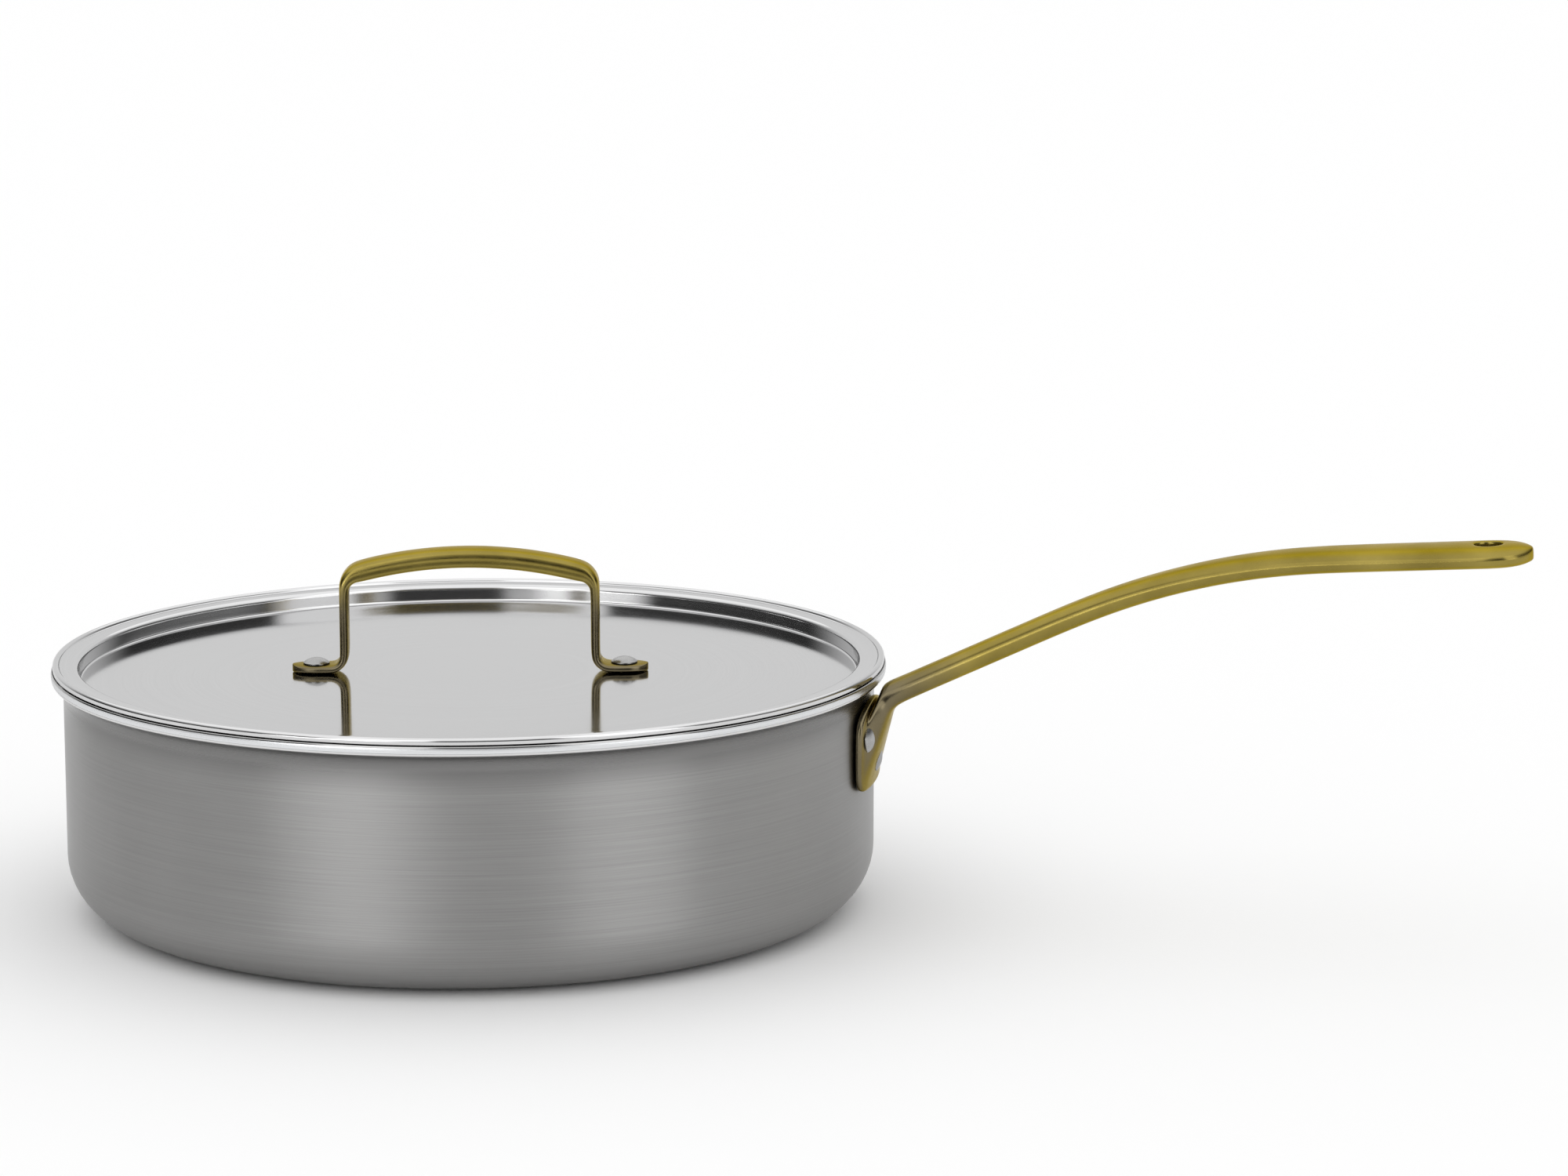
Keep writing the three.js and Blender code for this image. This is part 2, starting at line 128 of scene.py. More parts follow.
def spin_round(bm, steps=SPIN_STEPS):
    """Turns the profile once about the Z axis and closes it, with its faces outwards."""
    bmesh.ops.spin(
        bm, geom=bm.verts[:] + bm.edges[:], cent=(0, 0, 0), axis=(0, 0, 1),
        angle=2 * math.pi, steps=steps, use_merge=True, use_duplicate=False)
    bmesh.ops.remove_doubles(bm, verts=bm.verts[:], dist=MERGE_WITHIN)
    bmesh.ops.recalc_face_normals(bm, faces=bm.faces[:])


def made_piece(name, bm, sharp=40):
    """Turns a finished bmesh into a smooth-shaded object whose corners past that angle stay crisp."""
    mesh = bpy.data.meshes.new(name)
    bm.to_mesh(mesh)
    bm.free()
    mesh.shade_smooth()
    mesh.set_sharp_from_angle(angle=math.radians(sharp))
    piece = bpy.data.objects.new(name, mesh)
    bpy.context.scene.collection.objects.link(piece)
    return piece


def settle(piece, body, node, material):
    """Dresses a piece, fixes it to its body and lets it stand for its node."""
    piece.data.materials.append(material)
    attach(piece, body)
    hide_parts(node)


def new_metal(name):
    """A bare metal to work on: the material, its node tree and its shader."""
    material = bpy.data.materials.new(name)
    material.use_nodes = True
    shader = material.node_tree.nodes["Principled BSDF"]
    shader.inputs["Metallic"].default_value = 1.0
    shader.inputs["Specular Tint"].default_value = METAL_EDGE_TINT
    return material, material.node_tree, shader


def add_node(tree, kind, **settings):
    """Adds a shader node: plain words set its properties, a dict under sockets its inputs."""
    node = tree.nodes.new(kind)
    sockets = settings.pop("sockets", {})
    for key, value in settings.items():
        setattr(node, key, value)
    for key, value in sockets.items():
        if isinstance(value, bpy.types.NodeSocket):
            tree.links.new(value, node.inputs[key])
        else:
            node.inputs[key].default_value = value
    return node


def object_place(tree):
    """A point's place on its piece in metres, as three outputs."""
    place = add_node(tree, "ShaderNodeTexCoord")
    return add_node(tree, "ShaderNodeSeparateXYZ", sockets={0: place.outputs["Object"]}).outputs


def combine(tree, operation, *values):
    """Joins values by one step of arithmetic."""
    return add_node(
        tree, "ShaderNodeMath", operation=operation, sockets=dict(enumerate(values))).outputs[0]


def blend_values(tree, share, first, second):
    """Mixes two values by a share."""
    return add_node(
        tree, "ShaderNodeMix", data_type="FLOAT", sockets={0: share, 2: first, 3: second}).outputs[0]


def blend_colours(tree, share, first, second):
    """Mixes two colours, plain or from other nodes, by a share."""
    return add_node(
        tree, "ShaderNodeMix", data_type="RGBA", sockets={0: share, 6: first, 7: second}).outputs[2]


def spread(tree, value, low, high, from_low=0.3, from_high=0.7):
    """Stretches a value to run from low to high. The range it comes from is usually a noise's."""
    return add_node(
        tree, "ShaderNodeMapRange",
        sockets={"Value": value, "From Min": from_low, "From Max": from_high,
                 "To Min": low, "To Max": high}).outputs[0]


def lathe_marks(tree, per_metre_round, per_metre_across):
    """Noise drawn out round the Z axis and fine across it, as an abrasive leaves on a lathe."""
    place = object_place(tree)
    flat = add_node(tree, "ShaderNodeCombineXYZ", sockets={0: place[0], 1: place[1]})
    radius = add_node(tree, "ShaderNodeVectorMath", operation="LENGTH", sockets={0: flat.outputs[0]})
    along = combine(tree, "ADD", radius.outputs["Value"], place[2])
    drawn = add_node(tree, "ShaderNodeCombineXYZ", sockets={0: place[0], 1: place[1], 2: along})
    scaled = add_node(
        tree, "ShaderNodeMapping",
        sockets={0: drawn.outputs[0], "Scale": (per_metre_round, per_metre_round, per_metre_across)})
    return add_node(
        tree, "ShaderNodeTexNoise",
        sockets={"Vector": scaled.outputs[0], "Scale": 1.0, "Detail": 4.0, "Roughness": 0.62}).outputs[0]


def cloud(tree, per_metre, detail=3.0):
    """Soft blotches at a real scale, for handling marks and slight changes of tone."""
    place = add_node(tree, "ShaderNodeTexCoord")
    return add_node(
        tree, "ShaderNodeTexNoise",
        sockets={"Vector": place.outputs["Object"], "Scale": per_metre, "Detail": detail}).outputs[0]


def shallow_marks(tree, shader, height, strength, depth):
    """Lets a noise stand as shallow relief on the surface."""
    relief = add_node(
        tree, "ShaderNodeBump",
        sockets={"Height": height, "Strength": strength, "Distance": depth})
    tree.links.new(relief.outputs[0], shader.inputs["Normal"])


def lathe_tangent(tree, shader, amount):
    """Draws reflections out across the lathe marks, as brushed metal does."""
    around = add_node(tree, "ShaderNodeTangent", direction_type="RADIAL", axis="Z")
    tree.links.new(around.outputs[0], shader.inputs["Tangent"])
    shader.inputs["Anisotropic"].default_value = amount
    shader.inputs["Anisotropic Rotation"].default_value = 0.25


def satin_steel():
    """Stainless steel with fine turned lines, a smoother band under the flare whose darker tone is
    painted shade, and a polished lip whose lighter tone is a painted highlight.
    """
    material, tree, shader = new_metal("satin_steel")
    lines = lathe_marks(tree, per_metre_round=16, per_metre_across=2600)
    handling = cloud(tree, per_metre=22)
    height = object_place(tree)[2]
    unbrushed_and_shaded = spread(tree, height, 0, 1, UNBRUSHED_SHADE_FROM, UNBRUSHED_SHADE_TO)
    polished = spread(tree, height, 0, 1, LIP_POLISH_AND_HIGHLIGHT_FROM, LIP_POLISH_AND_HIGHLIGHT_TO)
    turned = blend_colours(tree, spread(tree, lines, 0, 1), SATIN_DARK, SATIN_LIGHT)
    # The darker tone of the band under the flare is painted shade.
    with_painted_shade = blend_colours(tree, unbrushed_and_shaded, turned, PAINTED_SHADE_TONE)
    # The lighter tone on the lip is a painted highlight. Its lower roughness is real polish.
    tree.links.new(blend_colours(tree, polished, with_painted_shade, LIP_PAINTED_HIGHLIGHT), shader.inputs["Base Color"])
    brushed = spread(tree, lines, *SATIN_ROUGHNESS)
    handled = combine(tree, "ADD", brushed, spread(tree, handling, *SATIN_HANDLING))
    smoothed = combine(tree, "MULTIPLY_ADD", unbrushed_and_shaded, -UNBRUSHED_GLOSS, handled)
    tree.links.new(blend_values(tree, polished, smoothed, LIP_ROUGHNESS), shader.inputs["Roughness"])
    shallow_marks(tree, shader, lines, strength=0.12, depth=0.00004)
    lathe_tangent(tree, shader, amount=0.85)
    return material


bm = bmesh.new()
ply_profile(bm, 0, OUTER_PLY)
spin_round(bm)
outer_wall = made_piece("outer_wall", bm)
settle(outer_wall, "pan", "outer_steel_ply", satin_steel())


# Aluminium core
# The thick middle layer that spreads the heat. It only shows as a paler line in the rim's cut
# edge, which is ground upright, eased and polished after the pan is drawn.
BOND_LINE = 0.00005
CORE_PLY = 0.0015
CORE_DEPTH = OUTER_PLY + BOND_LINE
GROUND_DARK = (0.66, 0.67, 0.68, 1)
GROUND_LIGHT = (0.78, 0.79, 0.80, 1)
GROUND_ROUGHNESS = (0.22, 0.34)


def ground_aluminium():
    """Soft grey aluminium with grinding lines round the edge."""
    material, tree, shader = new_metal("ground_aluminium")
    lines = lathe_marks(tree, per_metre_round=30, per_metre_across=4000)
    tone = blend_colours(tree, spread(tree, lines, 0, 1), GROUND_DARK, GROUND_LIGHT)
    tree.links.new(tone, shader.inputs["Base Color"])
    tree.links.new(spread(tree, lines, *GROUND_ROUGHNESS), shader.inputs["Roughness"])
    shallow_marks(tree, shader, lines, strength=0.2, depth=0.00003)
    return material


bm = bmesh.new()
ply_profile(bm, CORE_DEPTH, CORE_PLY)
spin_round(bm)
core_layer = made_piece("core_layer", bm)
settle(core_layer, "pan", "aluminium_core", ground_aluminium())


# Inner steel ply
# The cooking surface and the upper face of the flared rim, one stainless sheet. The rim is
# polished bright, and the inside keeps a soft turned finish.
INNER_PLY = 0.0005
INNER_DEPTH = CORE_DEPTH + CORE_PLY + BOND_LINE
POLISHED_ABOVE = FLARE_START - 0.001
POLISH_BLEND = 0.003
COOKING_DARK = (0.46, 0.458, 0.455, 1)
COOKING_LIGHT = (0.54, 0.538, 0.535, 1)
COOKING_ROUGHNESS = (0.24, 0.34)
RIM_ROUGHNESS = (0.07, 0.12)


def cooking_steel():
    """Turned steel whose rim is polished: the gloss rises over the last stretch of the wall."""
    material, tree, shader = new_metal("cooking_steel")
    lines = lathe_marks(tree, per_metre_round=14, per_metre_across=1900)
    height = object_place(tree)[2]
    polished = spread(tree, height, 0, 1, POLISHED_ABOVE, POLISHED_ABOVE + POLISH_BLEND)
    tone = blend_colours(tree, spread(tree, lines, 0, 1), COOKING_DARK, COOKING_LIGHT)
    tree.links.new(tone, shader.inputs["Base Color"])
    satin = spread(tree, lines, *COOKING_ROUGHNESS)
    bright = spread(tree, lines, *RIM_ROUGHNESS)
    tree.links.new(blend_values(tree, polished, satin, bright), shader.inputs["Roughness"])
    shallow_marks(tree, shader, lines, strength=0.06, depth=0.00003)
    return material


bm = bmesh.new()
ply_profile(bm, INNER_DEPTH, INNER_PLY)
spin_round(bm)
cooking_layer = made_piece("cooking_layer", bm)
settle(cooking_layer, "pan", "inner_steel_ply", cooking_steel())


# Long handle
# One bronze casting: a flange that follows the wall, a slim neck that rises from under the rim,
# and a flat rounded grip with a hanging eye. It is polished, with painted shade on the flange and root
# at the wall.
FLANGE_SEAT = WALL_RADIUS + 0.0003
FLANGE_HALF_WIDTH = 0.018
FLANGE_HALF_HEIGHT = 0.01225
FLANGE_MIDDLE = PAN_HEIGHT - 0.0095 - FLANGE_HALF_HEIGHT
FLANGE_FOOT_THICKNESS = 0.0018
FLANGE_TOP_THICKNESS = 0.0024
SHOULDER_RISE = 0.0034
SHOULDER_WIDTH = 0.0105
FLARE_CLEARANCE = 0.0004
NECK_ROOT = PAN_HEIGHT - 0.009
NECK_ANGLE = math.radians(25.4)
NECK_RUN = 0.066
BEND_RADIUS = 0.212
GRIP_ANGLE = math.radians(3.6)
GRIP_RUN = 0.0585
ROOT_WIDTH = 0.019
ROOT_THICKNESS = 0.008
ROOT_BLEND = 0.016
NECK_WIDTH = 0.0125
NECK_THICKNESS = 0.0072
GRIP_WIDTH = 0.025
GRIP_THICKNESS = 0.0068
EYE_RADIUS = 0.0045
EYE_SETBACK = 0.013
EYE_EDGE = 0.0007
BEND_RUN = BEND_RADIUS * (NECK_ANGLE - GRIP_ANGLE)
BAR_LENGTH = NECK_RUN + BEND_RUN + GRIP_RUN
RING_POINTS = 24
RING_TURNS = [2 * math.pi * k / RING_POINTS for k in range(RING_POINTS)]
BAR_SQUARENESS = 0.8
FLANGE_SQUARENESS = 0.42
FLANGE_BACK_INSET = 0.006
# Each flange ring: how far in from the outline it lies, and its share of the flange's thickness.
FLANGE_RINGS = ((0.0006, 0.0), (0.0, 0.15), (0.0, 0.75), (0.0007, 1.0), (0.0030, 1.0))
FLANGE_TO_ROOT = (0.5, 0.82, 1.0)
ROOT_RUN = 0.0068
NECK_STATIONS = (
    0.0125, 0.019, 0.028, 0.040, 0.053, 0.066, 0.080, 0.094, 0.108, 0.122, 0.136, 0.150, 0.164)
TIP_SETBACKS = (0.0048, 0.0022, 0.0007, 0.00008)
# Painted shade: the bronze is darker near the pan's wall and low on the lid loop's legs and feet, where
# shade falls.
SHADE_WITHIN = 0.130
UNSHADED_BEYOND = 0.155
SHADE_BELOW = 0.090
UNSHADED_ABOVE = 0.102
PAINTED_SHADE_DARK = (0.146, 0.122, 0.072, 1)
PAINTED_SHADE_LIGHT = (0.206, 0.173, 0.106, 1)
BRONZE_DARK = (0.220, 0.170, 0.040, 1)
BRONZE_LIGHT = (0.318, 0.249, 0.062, 1)
BRONZE_EDGE_TINT = (0.77, 0.66, 0.36, 1)
BRONZE_LINES_PER_METRE = (40, 900, 900)
BRONZE_ROUGHNESS = (0.16, 0.24)
BRONZE_HANDLING = (0, 0.07)


def squared(value, squareness):
    """A sine or cosine pushed outwards, so that a circle turns into a rounded rectangle."""
    return math.copysign(abs(value) ** squareness, value)


def smooth_step(value, low, high):
    """Runs from 0 to 1 between two values, easing in and out."""
    share = min(max((value - low) / (high - low), 0), 1)
    return share * share * (3 - 2 * share)


def bar_line(run):
    """The bar's centre line: the point after that run along it, and its slope there."""
    neck = min(run, NECK_RUN)
    angle = NECK_ANGLE - min(max(run - NECK_RUN, 0), BEND_RUN) / BEND_RADIUS
    grip = max(run - NECK_RUN - BEND_RUN, 0)
    reach = FLANGE_SEAT + neck * math.cos(NECK_ANGLE) + grip * math.cos(GRIP_ANGLE)
    height = NECK_ROOT + neck * math.sin(NECK_ANGLE) + grip * math.sin(GRIP_ANGLE)
    reach += BEND_RADIUS * (math.sin(NECK_ANGLE) - math.sin(angle))
    height += BEND_RADIUS * (math.cos(angle) - math.cos(NECK_ANGLE))
    return Vector((reach, 0, height)), angle


def bar_size(run):
    """Half the bar's width and thickness: flared at the root, round in plan at the tip."""
    root = (1 - min(max(run / ROOT_BLEND, 0), 1)) ** 2
    grip = smooth_step(run, NECK_RUN / 2, BAR_LENGTH - GRIP_WIDTH / 2)
    width = NECK_WIDTH + grip * (GRIP_WIDTH - NECK_WIDTH) + root * (ROOT_WIDTH - NECK_WIDTH)
    thickness = NECK_THICKNESS + grip * (GRIP_THICKNESS - NECK_THICKNESS)
    thickness += root * (ROOT_THICKNESS - NECK_THICKNESS)
    tip = min(max(1 - (BAR_LENGTH - run) / (GRIP_WIDTH / 2), 0), 1)
    return width / 2 * math.sqrt(1 - tip ** 2), thickness / 2 * (1 - tip ** 4 / 2)


def bar_place(run, side, up):
    """A point of the bar, off its centre line by that much to the side and square to its slope."""
    point, angle = bar_line(run)
    return point + Vector((-up * math.sin(angle), side, up * math.cos(angle)))


def bar_ring(run):
    """The bar's section after that run along it."""
    across, through = bar_size(run)
    return [bar_place(run, across * squared(math.cos(t), BAR_SQUARENESS),
                      through * squared(math.sin(t), BAR_SQUARENESS)) for t in RING_TURNS]


def flange_thickness(height):
    """The flange tapers from its thick top to its thin foot."""
    rise = (height - FLANGE_MIDDLE) / (2 * FLANGE_HALF_HEIGHT) + 0.5
    return FLANGE_FOOT_THICKNESS + rise * (FLANGE_TOP_THICKNESS - FLANGE_FOOT_THICKNESS)


def flange_point(turn, inset, share):
    """A point of the flange: drawn in from its outline, at a share of its thickness off the wall."""
    across = (FLANGE_HALF_WIDTH - inset) * squared(math.cos(turn), FLANGE_SQUARENESS)
    height = (FLANGE_HALF_HEIGHT - inset) * squared(math.sin(turn), FLANGE_SQUARENESS)
    if height > 0:
        height += SHOULDER_RISE * math.exp(-(across / SHOULDER_WIDTH) ** 2)
    height += FLANGE_MIDDLE
    proud = share * flange_thickness(height)
    above = max(height - FLARE_START, 0)
    flare_reach = FLARE_RADIUS - math.sqrt(FLARE_RADIUS ** 2 - above ** 2)
    reach = max(FLANGE_SEAT + proud, WALL_RADIUS + flare_reach + FLARE_CLEARANCE)
    angle = across / FLANGE_SEAT
    return Vector((reach * math.cos(angle), reach * math.sin(angle), height))


def flange_ring(inset, share):
    """One ring of the flange, parallel to its outline."""
    return [flange_point(t, inset, share) for t in RING_TURNS]


def between(first, second, share):
    """A ring part of the way from one ring to another."""
    return [a.lerp(b, share) for a, b in zip(first, second)]


def loop_edges(bm, loop):
    """The edges that join a closed loop of vertices in order."""
    return [bm.edges.get((a, b)) for a, b in zip(loop, loop[1:] + loop[:1])]


def first_ring(bm, places, capped=True):
    """Starts a loft with one ring at its places, closed by a face if capped."""
    ring = bmesh.ops.create_circle(bm, cap_ends=capped, segments=len(places), radius=1)["verts"]
    for vert, place in zip(ring, places):
        vert.co = place
    return ring


def next_ring(bm, ring, places):
    """Extrudes a ring of edges once and sets its new vertices, in order, at their places."""
    made = bmesh.ops.extrude_edge_only(bm, edges=loop_edges(bm, ring))["geom"]
    fresh = {item for item in made if isinstance(item, bmesh.types.BMVert)}
    moved = [next(e.other_vert(v) for e in v.link_edges if e.other_vert(v) in fresh) for v in ring]
    for vert, place in zip(moved, places):
        vert.co = place
    return moved


def patch_faces(rows, columns):
    """The faces whose corners all lie on the given rows and columns of a loft."""
    corners = {row[k] for row in rows for k in columns}
    return [f for f in {f for v in corners for f in v.link_faces} if set(f.verts) <= corners]


def open_eye(bm, rows, centre_run):
    """Cuts the hanging eye: a hole on each face, its vertices set on a circle, joined by a bore."""
    rims = []
    for middle, side_sign in ((RING_POINTS // 4, 1), (3 * RING_POINTS // 4, -1)):
        columns = (middle - 1, middle, middle + 1)
        bmesh.ops.delete(bm, geom=patch_faces(rows, columns), context="FACES")
        steps = ((0, -1), (0, 0), (0, 1), (1, 1), (2, 1), (2, 0), (2, -1), (1, -1))
        loop = [rows[row][middle + column] for row, column in steps]
        for vert, (row, column) in zip(loop, steps):
            way = Vector((row - 1, -column * side_sign)).normalized() * EYE_RADIUS
            across, through = bar_size(centre_run + way.x)
            fullness = (1 - abs(way.y / across) ** (2 / BAR_SQUARENESS)) ** (BAR_SQUARENESS / 2)
            vert.co = bar_place(centre_run + way.x, way.y, side_sign * through * fullness)
        rims.append(loop_edges(bm, loop))
    bmesh.ops.bridge_loops(bm, edges=rims[0] + rims[1])
    bmesh.ops.bevel(
        bm, geom=rims[0] + rims[1], offset=EYE_EDGE, offset_type="OFFSET", affect="EDGES",
        segments=2, profile=0.5, material=-1)


def cast_bronze():
    """Polished bronze: fine long lines, a cloudy tone, and painted shade that darkens it close to the
    pan and low on the lid loop.
    """
    material, tree, shader = new_metal("cast_bronze")
    shader.inputs["Specular Tint"].default_value = BRONZE_EDGE_TINT
    surface = add_node(tree, "ShaderNodeTexCoord")
    drawn = add_node(
        tree, "ShaderNodeMapping",
        sockets={0: surface.outputs["Object"], "Scale": BRONZE_LINES_PER_METRE})
    lines = add_node(
        tree, "ShaderNodeTexNoise",
        sockets={"Vector": drawn.outputs[0], "Scale": 1.0, "Detail": 4.0, "Roughness": 0.6}).outputs[0]
    cloudy = spread(tree, cloud(tree, per_metre=55, detail=5.0), 0, 1)
    # The darker, duller bronze is painted shade at the wall and under the loop.
    shaded_bronze = blend_colours(tree, cloudy, PAINTED_SHADE_DARK, PAINTED_SHADE_LIGHT)
    plain_bronze = blend_colours(tree, cloudy, BRONZE_DARK, BRONZE_LIGHT)
    place = object_place(tree)
    along_bar = spread(tree, place[0], 0, 1, SHADE_WITHIN, UNSHADED_BEYOND)
    up_loop = spread(tree, place[2], 0, 1, SHADE_BELOW, UNSHADED_ABOVE)
    unshaded = combine(tree, "MAXIMUM", along_bar, up_loop)
    tree.links.new(blend_colours(tree, unshaded, shaded_bronze, plain_bronze), shader.inputs["Base Color"])
    ground = spread(tree, lines, *BRONZE_ROUGHNESS)
    handled = spread(tree, cloud(tree, per_metre=160), *BRONZE_HANDLING)
    tree.links.new(combine(tree, "ADD", ground, handled), shader.inputs["Roughness"])
    shallow_marks(tree, shader, lines, strength=0.08, depth=0.00004)
    return material


def rounded(piece, levels):
    """Smooths a loft's cage with a subdivision surface."""
    smoothing = piece.modifiers.new("rounding", "SUBSURF")
    smoothing.levels = levels
    smoothing.render_levels = levels


bronze = cast_bronze()
eye_run = BAR_LENGTH - EYE_SETBACK

bm = bmesh.new()
ring = first_ring(bm, flange_ring(FLANGE_BACK_INSET, 0))
for inset, share in FLANGE_RINGS:
    face = flange_ring(inset, share)
    ring = next_ring(bm, ring, face)
root = bar_ring(ROOT_RUN)
for share in FLANGE_TO_ROOT:
    ring = next_ring(bm, ring, between(face, root, share))
for run in NECK_STATIONS + (eye_run - 2 * EYE_RADIUS,):
    ring = next_ring(bm, ring, bar_ring(run))
eye_rings = []
for run in (eye_run - EYE_RADIUS, eye_run, eye_run + EYE_RADIUS):
    ring = next_ring(bm, ring, bar_ring(run))
    eye_rings.append(ring)
for setback in TIP_SETBACKS:
    ring = next_ring(bm, ring, bar_ring(BAR_LENGTH - setback))
bmesh.ops.contextual_create(bm, geom=ring)
open_eye(bm, eye_rings, eye_run)
bmesh.ops.recalc_face_normals(bm, faces=bm.faces[:])
cast_handle = made_piece("cast_handle", bm, sharp=180)
rounded(cast_handle, 2)
settle(cast_handle, "pan", "long_handle", bronze)


# Handle rivets
# Three stainless rivets through the flange and the wall, two beside the neck and one below it.
# Each has a low factory-made head outside and a like one upset against the cooking surface.
RIVET_RADIUS = 0.0025
RIVET_HEAD_RADIUS = 0.0045
RIVET_HEAD_HEIGHT = 0.0018
RIVET_HEAD_GAP = 0.0001
HEAD_EDGE = 0.0003
UPPER_RIVET_TURN = 0.011 / WALL_RADIUS
UPPER_RIVET_HEIGHT = FLANGE_MIDDLE + FLANGE_HALF_HEIGHT - 0.008
LOWER_RIVET_HEIGHT = FLANGE_MIDDLE - FLANGE_HALF_HEIGHT + 0.009
COOKING_RADIUS = WALL_RADIUS - WALL_THICKNESS
DOME_STEPS = 10
RIVET_SPIN_STEPS = 64
RIVET_DARK = (0.32, 0.318, 0.315, 1)
RIVET_LIGHT = (0.42, 0.418, 0.415, 1)
RIVET_ROUGHNESS = (0.22, 0.34)


def rivet_mesh(radius, head_radius, head_height, low, high):
    """A rivet on the Z axis: a shank between two low domes, each with a short upright edge."""
    rise = head_height - HEAD_EDGE
    dome = (head_radius ** 2 + rise ** 2) / (2 * rise)
    half_turn = math.degrees(math.asin(head_radius / dome))
    bm = bmesh.new()
    vert = bm.verts.new((0, 0, low - head_height))
    vert = bend_on(bm, vert, 0, low - head_height + dome, half_turn, DOME_STEPS)
    vert = straight_on(bm, vert, head_radius, low)
    vert = straight_on(bm, vert, radius, low)
    vert = straight_on(bm, vert, radius, high)
    vert = straight_on(bm, vert, head_radius, high)
    vert = straight_on(bm, vert, head_radius, high + HEAD_EDGE)
    bend_on(bm, vert, 0, high + head_height - dome, half_turn, DOME_STEPS)
    spin_round(bm, RIVET_SPIN_STEPS)
    return bm


def rivet_steel():
    """Tumbled stainless: a soft even gloss with small knocks."""
    material, tree, shader = new_metal("rivet_steel")
    knocks = cloud(tree, per_metre=900, detail=4.0)
    toning = cloud(tree, per_metre=180)
    tone = blend_colours(tree, spread(tree, toning, 0, 1), RIVET_DARK, RIVET_LIGHT)
    tree.links.new(tone, shader.inputs["Base Color"])
    tree.links.new(spread(tree, knocks, *RIVET_ROUGHNESS), shader.inputs["Roughness"])
    shallow_marks(tree, shader, knocks, strength=0.1, depth=0.00005)
    return material


rivet_finish = rivet_steel()
for node, turn, height in (
        ("handle_rivet_upper_left", UPPER_RIVET_TURN, UPPER_RIVET_HEIGHT),
        ("handle_rivet_upper_right", -UPPER_RIVET_TURN, UPPER_RIVET_HEIGHT),
        ("handle_rivet_lower", 0, LOWER_RIVET_HEIGHT)):
    outside = FLANGE_SEAT + flange_thickness(height + RIVET_HEAD_RADIUS) + RIVET_HEAD_GAP
    inside = math.sqrt(COOKING_RADIUS ** 2 - RIVET_HEAD_RADIUS ** 2) - RIVET_HEAD_GAP
    bm = rivet_mesh(RIVET_RADIUS, RIVET_HEAD_RADIUS, RIVET_HEAD_HEIGHT, inside, outside)
    lying = Matrix.Rotation(math.pi / 2, 4, "Y")
    place = Matrix.Rotation(turn, 4, "Z") @ Matrix.Translation((0, 0, height)) @ lying
    bmesh.ops.transform(bm, matrix=place, verts=bm.verts[:])
    rivet = made_piece(node.replace("handle_rivet", "flange_rivet"), bm)
    settle(rivet, "pan", node, rivet_finish)


# Lid disc
# One stainless sheet pressed to a shallow plug: a flange with a curled edge that rests on the flared
# rim, a step down inside the wall and a faintly crowned panel. It is buffed to a mirror.
LID_SHEET = 0.001
LID_RADIUS = WALL_RADIUS - WALL_THICKNESS + 0.0057
LID_CURL = 0.001
LID_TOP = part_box("lid_disc")[1].z - LID_CURL
LID_DEPTH = 0.0052
LID_CROWN = 0.0004
CROWN_STEPS = 16
PLUG_RADIUS = WALL_RADIUS - WALL_THICKNESS - 0.0012
LOWER_BEND = 0.0008
UPPER_BEND = 0.0005
PANEL_RADIUS = PLUG_RADIUS - LID_SHEET - LOWER_BEND
PANEL_EDGE = LID_TOP - LID_DEPTH
CURL_FILLET = 0.0004
CURL_STEPS = 16
LID_LOWER_ROUNDING = 0.0003
MIRROR_DARK = (0.625, 0.625, 0.628, 1)
MIRROR_LIGHT = (0.665, 0.665, 0.668, 1)
MIRROR_ROUGHNESS = (0.05, 0.09)
MIRROR_WIPING = (0, 0.05)


def round_ring(bm, radius, height, width, segments=3):
    """Rounds off the sharp ring of edges at that radius and height."""
    def on_ring(vert):
        at_radius = abs(vert.co.xy.length - radius) < MERGE_WITHIN
        return at_radius and abs(vert.co.z - height) < MERGE_WITHIN
    ring = [e for e in bm.edges if all(on_ring(v) for v in e.verts)]
    bmesh.ops.bevel(
        bm, geom=ring, offset=width, offset_type="OFFSET", affect="EDGES",
        segments=segments, profile=0.5, material=-1)


def panel_height(radius):
    """Height of the panel's upper face at a radius."""
    return PANEL_EDGE + LID_CROWN * (1 - (radius / PANEL_RADIUS) ** 2)


def mirror_steel():
    """Buffed stainless, nearly a mirror, with hairlines round the panel and faint wipe marks."""
    material, tree, shader = new_metal("mirror_steel")
    lines = lathe_marks(tree, per_metre_round=10, per_metre_across=3000)
    wiping = cloud(tree, per_metre=14)
    tone = blend_colours(tree, spread(tree, lines, 0, 1), MIRROR_DARK, MIRROR_LIGHT)
    tree.links.new(tone, shader.inputs["Base Color"])
    buffed = spread(tree, lines, *MIRROR_ROUGHNESS)
    wiped = spread(tree, wiping, *MIRROR_WIPING)
    tree.links.new(combine(tree, "ADD", buffed, wiped), shader.inputs["Roughness"])
    shallow_marks(tree, shader, lines, strength=0.03, depth=0.00002)
    return material


